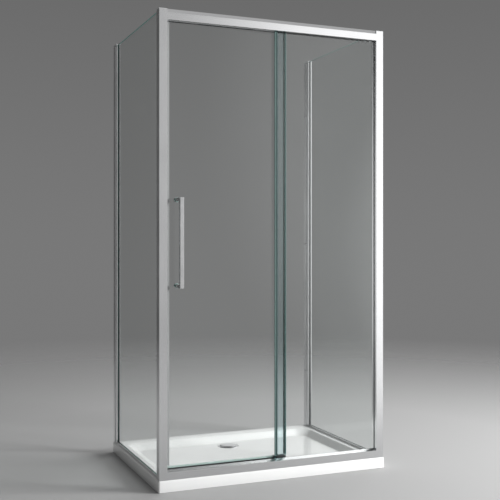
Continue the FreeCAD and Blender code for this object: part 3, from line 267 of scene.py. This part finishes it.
# %% Moulded finishes
def moulded(name, dark, light, rough, grain=900.0, depth=0.12, coat=0.0):
    finish = Finish(name)
    spark = finish.noise((1, 1, 1), grain, 2.0)
    cloud = finish.noise((1, 1, 1), 9.0, 3.0)
    return finish.closed_with(finish.glossy_body(
        Base_Color=finish.blend((cloud * 0.7 + spark * 0.3).clamped(), dark, light),
        Roughness=(spark * 0.12 + cloud * 0.10 + rough).clamped(),
        Coat_Weight=coat, Coat_Roughness=0.08,
        Normal=finish.bump(spark, depth, 0.3 * MM)))


white_acrylic = moulded("white_acrylic", (0.83, 0.84, 0.84, 1), (0.90, 0.90, 0.89, 1), 0.10,
                        grain=160.0, depth=0.02, coat=0.5)
grey_nylon = moulded("grey_nylon", (0.40, 0.41, 0.42, 1), (0.55, 0.56, 0.56, 1), 0.38)
white_nylon = moulded("white_nylon", (0.72, 0.72, 0.70, 1), (0.86, 0.86, 0.84, 1), 0.34)
black_nylon = moulded("black_nylon", (0.012, 0.012, 0.014, 1), (0.035, 0.035, 0.038, 1), 0.36)
black_rubber = moulded("black_rubber", (0.010, 0.010, 0.011, 1), (0.050, 0.050, 0.052, 1), 0.55,
                       grain=500.0, depth=0.2)
print("moulded finishes:", [m.name for m in (white_acrylic, grey_nylon, white_nylon, black_nylon,
                                             black_rubber)])

# %% [markdown]
# ## Drawn seals
# The upright seals are PVC, drawn through a die, so their streaks run along them. Many are drawn
# from two materials at once: a stiff channel that grips the pane, and a soft clear lip beside it.
# One strip with a mask across it shows that better than two flat colours would. Each mask starts at
# the edge of the pane that the seal sits on, taken from the frame. The black blade of the door's
# bottom seal is also painted shade, the dark of the rail's channel under the door.

# %% Seals
door_low, door_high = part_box("door_glass")
fixed_low, fixed_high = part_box("fixed_front_glass")
STREAK_UP, STREAK_ACROSS = (700, 700, 3), (3, 700, 700)      # noise per metre on each axis
DOOR_CHANNEL = 5 * MM               # the door seal's lip starts this far inside the pane's edge
FIXED_LIP = 2.5 * MM                # the meeting seal's lip ends this far past the pane's edge
# Under the pane the blade is black, and that black is also painted shade of the rail's channel.
CLIP_FOOT = 0.5 * MM                # the drip blade starts this far under the pane


def drawn_plastic(finish, drawn, dark, light, shine=(0.12, 0.30)):
    """The body of a drawn strip: its streaks go from dark to light and change its gloss."""
    return finish.glossy_body(Base_Color=finish.blend(drawn, dark, light),
                              Roughness=drawn.ramp(0.2, 0.8, *shine), IOR=1.53)


def vinyl(name, dark, light, tint, least, most):
    """One kind of PVC; least and most say how much of it is milky."""
    finish = Finish(name)
    drawn = finish.noise(STREAK_UP, 1.0, 2.0)
    body = drawn_plastic(finish, drawn, dark, light)
    return finish.closed_with(finish.mixed(
        drawn.ramp(0.2, 0.8, least, most), finish.clear_body(*tint), body))


def lipped_seal(name, split, lip_on_right):
    """A dark green channel that grips the pane, and a clear soft lip beside it."""
    finish = Finish(name)
    drawn = finish.noise(STREAK_UP, 1.0, 2.0)
    channel = drawn_plastic(finish, drawn, (0.012, 0.028, 0.026, 1), (0.040, 0.085, 0.080, 1))
    milk = drawn_plastic(finish, drawn, (0.30, 0.46, 0.44, 1), (0.62, 0.78, 0.75, 1))
    lip = finish.mixed(drawn.ramp(0.2, 0.8, 0.18, 0.34), finish.clear_body(0.62, 0.76, 0.75), milk)
    on_right = finish.place_along("X") > split
    return finish.closed_with(finish.mixed(
        on_right if lip_on_right else 1 - on_right, channel, lip))


def drip_seal(name, joint_height):
    """A clear clip above; below, a black blade whose black is also painted shade."""
    finish = Finish(name)
    drawn = finish.noise(STREAK_ACROSS, 1.0, 2.0)
    # The blade: a black strip that also stands for painted shade in the rail's channel under the
    # door.
    blade_painted_shade = drawn_plastic(finish, drawn, (0.010, 0.010, 0.011, 1), (0.040, 0.040, 0.042, 1),
                          shine=(0.40, 0.62))
    milk = drawn_plastic(finish, drawn, (0.50, 0.62, 0.60, 1), (0.78, 0.86, 0.84, 1))
    clip = finish.mixed(drawn.ramp(0.2, 0.8, 0.22, 0.40), finish.clear_body(0.86, 0.92, 0.90), milk)
    return finish.closed_with(finish.mixed(
        finish.place_along("Z") > joint_height, blade_painted_shade, clip))


clear_vinyl = vinyl("clear_vinyl", (0.32, 0.52, 0.50, 1), (0.72, 0.86, 0.83, 1),
                    (0.80, 0.90, 0.88), 0.35, 0.60)
magnet_strip = vinyl("magnet_strip", (0.20, 0.21, 0.21, 1), (0.42, 0.43, 0.43, 1),
                     (0.70, 0.70, 0.70), 0.92, 0.98)
door_seal = lipped_seal("door_seal", door_high.x - DOOR_CHANNEL, True)
meeting_seal = lipped_seal("meeting_seal", fixed_low.x + FIXED_LIP, False)
# The door's bottom seal, whose black blade is also painted shade of the rail's channel.
drip_seal_painted_shade = drip_seal("drip_seal_painted_shade", door_low.z - CLIP_FOOT)
print("door pane, mm:", [round(v / MM, 1) for v in (*door_low, *door_high)])
print("fixed pane, mm:", [round(v / MM, 1) for v in (*fixed_low, *fixed_high)])

# %% [markdown]
# ## Safety glass
# The panes are clear toughened glass, 6 mm thick. Looked at square on, a pane lets nearly all light
# through and mirrors a few per cent. Looked at along its edge, the light has travelled through a
# long piece of slightly green glass, so the polished edge is teal. Real refraction would cost much
# noise for no visible gain in a flat pane. So the faces mix Transparent with a mirror, whose share
# grows with the fifth power of the slant of the view. The ready node for that share isn't used: a
# ray that goes straight on meets the far side at a slant that it takes for total reflection. A mask
# from the surface direction turns the narrow edges into deep teal glass, and near the meeting edges
# of the two front panes the faces carry some of that green, where light from the edge leaks in.

# %% Glass for a pane that faces along one axis
FACE_TINT, GLOW_TINT = (0.972, 0.979, 0.977), (0.780, 0.865, 0.878)
HEAD_ON = 0.04                      # share of the light that glass mirrors square on
MIRROR_SHARE, SMEAR_SHARE = 0.5, 0.006        # how much of the mirror is kept, and what smears add
FACE_LIMIT = 0.7                    # how squarely a surface looks along the axis to be a face
DOOR_GLOW, DOOR_CLEAR = 12 * MM, 1 * MM       # in from the door's edge, in from the fixed pane's
FIXED_GLOW, FIXED_CLEAR = 7 * MM, 23 * MM     # both in from the fixed pane's edge


def pane_glass(name, axis, glow=None):
    """Glow is a stretch of X in metres over which the colour of the edge fades out."""
    finish = Finish(name)
    facing = finish.node("ShaderNodeNewGeometry", output="Normal")
    along = finish.node("ShaderNodeSeparateXYZ", {}, {0: facing}, output=axis)
    is_edge = 1 - (abs(along) > FACE_LIMIT)
    through = finish.clear_body(*FACE_TINT)
    if glow:
        fade = finish.place_along("X").ramp(*glow, 1.0, 0.0)
        through = finish.mixed(fade, through, finish.clear_body(*GLOW_TINT))
    mirror = finish.node("ShaderNodeBsdfGlossy", {}, {
        "Color": (0.95, 0.98, 0.97, 1), "Roughness": 0.0})
    turned_away = finish.node("ShaderNodeLayerWeight", {}, {"Blend": 0.5}, output="Facing")
    gloss = turned_away ** 5 * (1 - HEAD_ON) + HEAD_ON
    smear = finish.noise((1, 1, 1), 7.0, 4.0, 0.55)
    face = finish.mixed((gloss * MIRROR_SHARE + smear * SMEAR_SHARE).clamped(), through, mirror)
    run = finish.noise((240, 240, 1.5), 1.0, 2.0)
    rim = finish.glossy_body(
        Base_Color=finish.blend(run, (0.030, 0.150, 0.130, 1), (0.220, 0.520, 0.470, 1)),
        Roughness=run.ramp(0.2, 0.8, 0.05, 0.22), IOR=1.52)
    return finish.closed_with(finish.mixed(is_edge, face, rim))


door_pane = pane_glass("door_pane", "Y",
                       glow=(door_high.x - DOOR_GLOW, fixed_low.x + DOOR_CLEAR))
fixed_pane = pane_glass("fixed_pane", "Y",
                        glow=(fixed_low.x + FIXED_GLOW, fixed_low.x + FIXED_CLEAR))
side_pane = pane_glass("side_pane", "X")
print("panes overlap by mm:", round((door_high.x - fixed_low.x) / MM, 1))

# %% [markdown]
# ## Meshes from rings
# A moulded tray and a turned cover are both a row of rings with skin between them. A ring is the
# same outline at another size and height, and as long as every ring has the same number of points,
# neighbours can be joined by four-sided faces. That gives clean, closed meshes whose rounded edges
# are part of the shape, which a box with a texture could never show in its highlights.

# %% Skin over rings
SHARP_FROM = math.radians(32)


def skinned(name, rings, body, finish, closed=False):
    """A mesh from rings of points: one point is a tip, closed joins the last ring to the first."""
    shape = bmesh.new()
    rows = [[shape.verts.new(point) for point in ring] for ring in rings]
    pairs = list(zip(rows, rows[1:])) + ([(rows[-1], rows[0])] if closed else [])
    for low, high in pairs:
        for k in range(max(len(low), len(high))):
            corners = [low[k % len(low)], low[(k + 1) % len(low)],
                       high[(k + 1) % len(high)], high[k % len(high)]]
            shape.faces.new(list(dict.fromkeys(corners)))
    bmesh.ops.recalc_face_normals(shape, faces=shape.faces)
    mesh = bpy.data.meshes.new(name)
    shape.to_mesh(mesh)
    shape.free()
    mesh.shade_smooth()
    mesh.set_sharp_from_angle(angle=SHARP_FROM)
    piece = bpy.data.objects.new(name, mesh)
    bpy.context.scene.collection.objects.link(piece)
    mesh.materials.append(finish)
    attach(piece, body)
    print(name, "faces:", len(mesh.polygons), "size mm:",
          [round(v / MM, 1) for v in piece.dimensions])
    return piece


# %% A rectangle with round corners
CORNER_STEPS, SIDE_STEPS = 10, 14


def soft_rectangle(left, right, front, back, radius):
    """Points round a rectangle with round corners: always the same number of them."""
    middles = [(right - radius, front + radius), (right - radius, back - radius),
               (left + radius, back - radius), (left + radius, front + radius)]
    points = []
    for k, (x, y) in enumerate(middles):
        for step in range(CORNER_STEPS + 1):
            turn = math.radians(90 * (k - 1) + 90 * step / CORNER_STEPS)
            points.append((x + radius * math.cos(turn), y + radius * math.sin(turn)))
        turn = math.radians(90 * k)
        next_x, next_y = middles[(k + 1) % 4]
        end = (next_x + radius * math.cos(turn), next_y + radius * math.sin(turn))
        start = points[-1]
        for step in range(1, SIDE_STEPS + 1):
            share = step / (SIDE_STEPS + 1)
            points.append((start[0] + (end[0] - start[0]) * share,
                           start[1] + (end[1] - start[1]) * share))
    return points


print("points round a soft rectangle:", 4 * (CORNER_STEPS + 1 + SIDE_STEPS))

# %% [markdown]
# ## The shower tray
# The real tray is vacuum-formed acrylic on a stiff backing. The sheet can't take a sharp crease, so
# the rim rolls softly into the basin, the walls roll out into the floor, and the floor falls to the
# waste. Here each ring runs right round the tray: the seat of the waste, the floor, the wall in
# small steps with eased ends, the flat rim, the rounded outer edge, and back under to the pocket.

# %% The outlines of the tray
tray_low, tray_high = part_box("shower_tray")
flange_low, flange_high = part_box("waste_flange")
WASTE = ((flange_low + flange_high) / 2).to_2d()
RIM = tray_high.z
FLOOR, DISH, SEAT = 24 * MM, 22 * MM, 18 * MM        # basin floor, where it meets the waste, its seat
SIDE_RIM, FRONT_RIM, BACK_RIM = 50 * MM, 60 * MM, 70 * MM
SIDE_SLOPE, END_SLOPE = 45 * MM, 60 * MM             # how far the basin walls run in
RIM_CORNER, FLOOR_CORNER = 70 * MM, 45 * MM
SEAT_RADIUS, SEAT_EASE, DISH_RADIUS = 53.5 * MM, 0.4 * MM, 150 * MM
THROAT_RADIUS, POCKET_RADIUS, POCKET_ROOF = 25.5 * MM, 48 * MM, 10 * MM
OUTER_CORNER, EDGE_ROUND = 7 * MM, 4 * MM            # of the tray's plan, and of its top edge
EASE = 0.16                                          # share of the wall that each rounded end takes

rim_line = (tray_low.x + SIDE_RIM, tray_high.x - SIDE_RIM,
            tray_low.y + FRONT_RIM, tray_high.y - BACK_RIM)
floor_line = (rim_line[0] + SIDE_SLOPE, rim_line[1] - SIDE_SLOPE,
              rim_line[2] + END_SLOPE, rim_line[3] - END_SLOPE)
rim_outline = soft_rectangle(*rim_line, RIM_CORNER)
floor_outline = soft_rectangle(*floor_line, FLOOR_CORNER)
print("basin floor, mm:", [round(v / MM) for v in floor_line])


# %% The height of the basin at any point
def round_waste(radius, height):
    """A circle round the waste, with one point towards each point of the floor's outline."""
    ring = []
    for point in floor_outline:
        away = (Vector(point) - WASTE).normalized() * radius
        ring.append((WASTE.x + away.x, WASTE.y + away.y, height))
    return ring


def dish_height(x, y):
    """The floor is level, and falls gently to the waste close round it."""
    away = (Vector((x, y)) - WASTE).length
    share = (away - SEAT_RADIUS) / (DISH_RADIUS - SEAT_RADIUS)
    share = min(max(share, 0.0), 1.0)
    return DISH + (FLOOR - DISH) * share * share * (3 - 2 * share)


def eased(s):
    """A straight climb from 0 to 1 with rounded ends."""
    if s < EASE:
        return max(s + EASE, 0.0) ** 2 / (4 * EASE)
    if s > 1 - EASE:
        return 1 - max(1 + EASE - s, 0.0) ** 2 / (4 * EASE)
    return s


def wall_ring(s):
    """The ring at share s of the way from the floor's outline to the rim's."""
    ring = []
    for low, high in zip(floor_outline, rim_outline):
        x, y = (a + (b - a) * s for a, b in zip(low, high))
        bottom = dish_height(x, y)
        ring.append((x, y, bottom + (RIM - bottom) * eased(s)))
    return ring


def outer_ring(inset, height, radius):
    """The tray's outline, drawn in by an inset."""
    outline = soft_rectangle(tray_low.x + inset, tray_high.x - inset,
                             tray_low.y + inset, tray_high.y - inset, radius)
    return [(x, y, height) for x, y in outline]


print("fall of the floor, mm:", round((FLOOR - DISH) / MM, 1))

# %% Shower tray
FLOOR_SHARES = (0.0, 0.04, 0.10, 0.18, 0.28, 0.42, 0.58, 0.76, 0.92)
WALL_SHARES = (-EASE, -0.10, -0.05, 0.0, 0.05, 0.10, EASE, 0.33, 0.5, 0.67,
               1 - EASE, 0.90, 0.95, 1.0, 1.05, 1.10, 1 + EASE)
FOOT_STEPS = ((0.0, 1.5 * MM), (0.4 * MM, 0.4 * MM), (1.5 * MM, 0.0))     # inset and height
FOOT_CORNER, LEAST_CORNER = 6 * MM, 2 * MM

foot = wall_ring(-EASE)
lip = round_waste(SEAT_RADIUS + SEAT_EASE, DISH)
rings = [round_waste(THROAT_RADIUS, SEAT), round_waste(SEAT_RADIUS, SEAT),
         round_waste(SEAT_RADIUS, DISH - SEAT_EASE)]
for share in FLOOR_SHARES:
    ring = []
    for (x1, y1, _), (x2, y2, _) in zip(lip, foot):
        x, y = x1 + (x2 - x1) * share, y1 + (y2 - y1) * share
        ring.append((x, y, dish_height(x, y)))
    rings.append(ring)
for share in WALL_SHARES:
    rings.append(wall_ring(share))
for turn in range(0, 91, 18):
    inset = EDGE_ROUND * (1 - math.sin(math.radians(turn)))
    drop = EDGE_ROUND * (1 - math.cos(math.radians(turn)))
    rings.append(outer_ring(inset, RIM - drop, max(OUTER_CORNER - inset, LEAST_CORNER)))
for inset, height in FOOT_STEPS:
    rings.append(outer_ring(inset, height, FOOT_CORNER))
rings += [round_waste(POCKET_RADIUS, 0.0), round_waste(POCKET_RADIUS, POCKET_ROOF),
          round_waste(THROAT_RADIUS, POCKET_ROOF)]
tray = skinned("tray", rings, "enclosure", white_acrylic, closed=True)
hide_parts("shower_tray")

# %% [markdown]
# ## The waste
# The chrome flange and its cover are spun and turned metal, so they are made the same way: a half
# section, given as radius and height, is turned round an axis. The cover is a shallow dome with a
# rolled edge that floats over the flange on a pin, and water runs in under it. The sections are in
# millimetres, as a turner would read them, and their main radii and heights have names.

# %% Turned pieces
ROUND_STEPS = 72
FLANGE_RADIUS = (flange_high.x - flange_low.x) / 2 / MM
FLANGE_TOP, TAIL_END = flange_high.z / MM, flange_low.z / MM
TAIL_RADIUS, THROAT_BORE, TAIL_BORE = 24.0, 20.0, 18.5
STRAINER_SEAT, FLANGE_UNDER, WELL_RADIUS = 15.0, 19.5, 27.0


def turned_rings(section, centre):
    """Rings of a half section in mm (radius, height) turned round an upright axis."""
    rings = []
    for radius, height in section:
        ring = []
        for step in range(ROUND_STEPS if radius > 0 else 1):
            turn = math.tau * step / ROUND_STEPS
            ring.append((centre.x + radius * MM * math.cos(turn),
                         centre.y + radius * MM * math.sin(turn), height * MM))
        rings.append(ring)
    return rings


flange_section = [
    (THROAT_BORE, STRAINER_SEAT), (THROAT_BORE, FLANGE_TOP - 2.8),
    (THROAT_BORE + 0.6, FLANGE_TOP - 2.1), (WELL_RADIUS, FLANGE_TOP - 0.4),
    (WELL_RADIUS + 1.5, FLANGE_TOP),
    (FLANGE_RADIUS - 2.4, FLANGE_TOP), (FLANGE_RADIUS - 1.1, FLANGE_TOP - 0.2),
    (FLANGE_RADIUS - 0.3, FLANGE_TOP - 0.8), (FLANGE_RADIUS, FLANGE_TOP - 1.6),
    (FLANGE_RADIUS, FLANGE_UNDER), (TAIL_RADIUS, FLANGE_UNDER), (TAIL_RADIUS, TAIL_END + 0.4),
    (TAIL_RADIUS - 0.4, TAIL_END), (TAIL_BORE + 0.4, TAIL_END), (TAIL_BORE, TAIL_END + 0.4),
    (TAIL_BORE, STRAINER_SEAT)]
flange = skinned("waste_flange_turned", turned_rings(flange_section, WASTE), "enclosure",
                 bright_chrome, closed=True)
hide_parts("waste_flange")

# %% The domed cover
DOME_RADIUS, DOME_FOOT, DOME_RISE = 43.0, 26.4, 3.6
DOME_ANGLES = (84, 76, 66, 56, 46, 36, 26, 16, 8)
PIN_RADIUS, PIN_END, STEM_RADIUS, STEM_END = 2.5, 15.2, 5.5, 18.1
SKIRT_RADIUS, SKIRT_LOW, COVER_UNDER = 39.0, 25.0, 26.0
dome = [(DOME_RADIUS * math.sin(math.radians(a)), DOME_FOOT + DOME_RISE * math.cos(math.radians(a)))
        for a in DOME_ANGLES]
cover_section = [
    (0, PIN_END), (PIN_RADIUS - 0.3, PIN_END), (PIN_RADIUS, PIN_END + 0.3), (PIN_RADIUS, STEM_END),
    (STEM_RADIUS - 0.5, STEM_END), (STEM_RADIUS, STEM_END + 0.5), (STEM_RADIUS, COVER_UNDER),
    (SKIRT_RADIUS, COVER_UNDER), (SKIRT_RADIUS, SKIRT_LOW + 0.3), (SKIRT_RADIUS + 0.3, SKIRT_LOW),
    (DOME_RADIUS - 0.8, SKIRT_LOW), (DOME_RADIUS - 0.2, SKIRT_LOW + 0.3),
    (DOME_RADIUS, SKIRT_LOW + 0.9), (DOME_RADIUS, DOME_FOOT),
    *dome, (0, DOME_FOOT + DOME_RISE)]
cover = skinned("waste_cover_turned", turned_rings(cover_section, WASTE), "waste_lid",
                bright_chrome)
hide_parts("waste_cover")

# %% [markdown]
# ## Giving each solid its finish
# Every solid gets the finish of the real part, even the three that a smoother mesh stands in for.
# So the table is a whole parts list, and a node that is missing from it would be reported. The
# finish goes into the slots that a solid already has, so its mesh stays as it came.

# %% Finish of each solid
FINISH_OF = {
    aluminium_upright: ["corner_post_left", "corner_post_right", "wall_channel_left",
                        "wall_channel_right", "wall_jamb_left", "wall_jamb_right"],
    aluminium_across: ["header_rail", "bottom_rail", "rail_infill"],
    aluminium_deep: ["side_sill_left", "side_sill_right"],
    door_pane: ["door_glass"],
    fixed_pane: ["fixed_front_glass"],
    side_pane: ["side_glass_left", "side_glass_right"],
    clear_vinyl: ["handle_washers"],
    door_seal: ["door_edge_seal"],
    meeting_seal: ["fixed_edge_seal"],
    magnet_strip: ["door_magnet_seal"],
    drip_seal_painted_shade: ["door_bottom_seal"],
    white_acrylic: ["shower_tray"],
    bright_chrome: ["waste_flange", "waste_cover", "jamb_screw_caps"],
    satin_chrome: ["handle_bar", "handle_legs", "handle_knobs"],
    stainless: ["jamb_screws", "corner_screws", "guide_screws", "handle_screws", "bracket_bolts",
                "roller_bracket_left", "roller_bracket_right", "roller_axles"],
    grey_nylon: ["post_caps", "wall_caps", "header_infill", "rail_end_blocks",
                 "header_end_blocks", "waste_strainer", "bracket_pads", "strike_strip"],
    white_nylon: ["roller_1", "roller_2", "roller_3", "roller_4", "anti_lift_clips",
                  "waste_backnut"],
    black_nylon: ["guide_block", "setting_blocks"],
    black_rubber: ["side_gaskets_left", "side_gaskets_right", "fixed_glass_gaskets",
                   "waste_seal_upper", "waste_seal_lower", "track_stop_open",
                   "track_stop_closed"],
}
for finish, names in FINISH_OF.items():
    for name in names:
        for slot in nodes[name].material_slots:
            slot.material = finish
dressed = {name for names in FINISH_OF.values() for name in names}
print("solids dressed:", len(dressed), "not in the table:", sorted(set(nodes) - dressed))

# %% [markdown]
# ## The floor of the studio
# The tray stands on a pale grey floor. A hard edge of the floor would cut through the picture, so
# its paint turns clear with the distance from the middle and the backdrop takes over. The floor
# also does a job for the metal: the front of the bottom rail mirrors nothing else.

# %% Floor
GROUND_RADIUS, GROUND_DROP, GROUND_GREY = 6.0, 0.5 * MM, 0.39
FADE_FROM, FADE_TO = 1.6, 5.6       # metres from the middle
bpy.ops.mesh.primitive_circle_add(
    vertices=96, radius=GROUND_RADIUS, fill_type="NGON", location=(0, 0, -GROUND_DROP))
floor = bpy.context.object
floor.name = "studio_floor"
floor_finish = Finish("floor_finish")
distance = floor_finish.node(
    "ShaderNodeVectorMath", {"operation": "LENGTH"}, {0: floor_finish.place()}, output="Value")
paint = floor_finish.glossy_body(Base_Color=grey(GROUND_GREY), Roughness=0.65)
floor.data.materials.append(floor_finish.closed_with(floor_finish.mixed(
    distance.ramp(FADE_FROM, FADE_TO), paint, floor_finish.clear_body(1, 1, 1))))
print("floor radius, m:", GROUND_RADIUS, "grey:", GROUND_GREY)

# %% [markdown]
# ## Light for polished metal
# Polished metal has no look of its own: it shows what stands round it. So most of the light is
# painted on the surround as soft patches, each in the direction that one part mirrors. A bright
# patch at the front right gives the front its run from grey to white. A broad soft patch at the
# front feeds the posts. A dark one behind on the left keeps the inner faces in shade, and a narrow
# bright one gives them their thin lines. The camera itself sees a plain grey backdrop, because
# the patches are there for the mirrors and not for the picture. Two large lamps give the white
# tray its shape, and they are hidden from mirrors, where they would show as squares.

# %% The studio
class Surround(Finish):
    """The studio round the object: a node network like a finish, on the world."""

    def __init__(self, name):
        self.material = bpy.data.worlds.new(name)
        bpy.context.scene.world = self.material
        self.start_tree("ShaderNodeOutputWorld")

    def towards(self, direction, start, end):
        """1 in a direction, fading to 0 away from it; start and end are cosines."""
        look = self.node("ShaderNodeTexCoord", output="Generated")
        along = self.node("ShaderNodeVectorMath", {"operation": "DOT_PRODUCT"}, {
            0: look, 1: Vector(direction).normalized()[:]}, output="Value")
        return along.ramp(end, start, curve="SMOOTHSTEP")


PATCHES = [                              # direction, full within, gone beyond, brightness
    ((0.42, 0.86, 0.29), 0.988, 0.955, 0.70),        # low behind, for what looks up
    ((-0.80, 0.60, 0.0), 0.86, 0.20, 0.07),          # shade behind on the left
    ((-0.707, 0.707, 0.0), 0.975, 0.957, 1.1),       # a bright strip in that shade
    ((0.28, -0.95, 0.10), 0.96, 0.82, 0.42),         # in front, for the faces of the posts
    ((0.72, -0.68, 0.14), 0.945, 0.885, 1.5),        # front right, for the right end of the front
    ((0.36, -0.58, 0.74), 0.95, 0.82, 0.46),         # high in front, for the header's leaning band
    ((0.75, 0.22, 0.62), 0.93, 0.865, 2.4),          # high right, for the rail's sloped top
]
ROOM, ROOM_BEHIND = 0.20, 0.17
BACKDROP_LOW, BACKDROP_HIGH = 0.19, 0.13

studio = Surround("studio")
room = studio.blend(
    studio.towards((0.38, 0.92, 0.0), 0.93, 0.45), grey(ROOM), grey(ROOM_BEHIND))
for direction, start, end, brightness in PATCHES:
    room = studio.blend(studio.towards(direction, start, end), room, grey(brightness))
backdrop = studio.blend(
    studio.towards((0.0, 0.0, 1.0), 0.45, -0.05), grey(BACKDROP_LOW), grey(BACKDROP_HIGH))
seen = studio.node("ShaderNodeLightPath", output="Is Camera Ray")
studio.closed_with(studio.node("ShaderNodeBackground", {}, {
    "Color": studio.blend(seen, room, backdrop), "Strength": 1.0}))
print("patches of light:", len(PATCHES))


# %% Two soft lamps
LAMP_WIDTH = 1.6


def soft_lamp(name, place, aim, power):
    """A square lamp of the given power in watts, out of sight of mirrors."""
    data = bpy.data.lights.new(name, "AREA")
    data.shape = "SQUARE"
    data.size = LAMP_WIDTH
    data.energy = power
    lamp = bpy.data.objects.new(name, data)
    bpy.context.scene.collection.objects.link(lamp)
    lamp.location = place
    lamp.rotation_euler = (Vector(aim) - Vector(place)).to_track_quat("-Z", "Y").to_euler()
    lamp.visible_glossy = False
    return lamp


key = soft_lamp("key_panel", (4.0, -2.7, 2.0), (0, 0, 0.5), 380)
top = soft_lamp("top_panel", (0.8, 0.6, 4.4), (0, 0, 0), 18)
print("lamps:", [(lamp.name, lamp.data.energy) for lamp in (key, top)])

# %% [markdown]
# ## The camera
# The photograph was taken from the left of the front, at half the height of the enclosure, with
# the camera level: upright edges stay upright. Its place, its turn and its lens come from fitting
# the corners of the frame. A small shift sets the middle of the picture just below the axis.

# %% Camera
CAMERA_PLACE = (-1.61582, -3.95368, 1.06227)         # metres
TURN_TO_RIGHT = math.radians(22.651)
SENSOR, LENS = 36.0, 63.062         # millimetres
SHIFT_DOWN = 0.0169                 # share of the width of the picture
FAR_LIMIT = 60.0                    # metres, well past the floor's edge

camera_data = bpy.data.cameras.new("camera")
camera = bpy.data.objects.new("camera", camera_data)
bpy.context.scene.collection.objects.link(camera)
bpy.context.scene.camera = camera
camera.location = CAMERA_PLACE
camera.rotation_euler = (math.radians(90), 0, -TURN_TO_RIGHT)
camera_data.sensor_width = SENSOR
camera_data.lens = LENS
camera_data.shift_y = -SHIFT_DOWN
camera_data.clip_end = FAR_LIMIT
bpy.context.scene.view_settings.view_transform = "Standard"
print("camera to the middle of the tray, m:", round(camera.location.length, 3))

# %% [markdown]
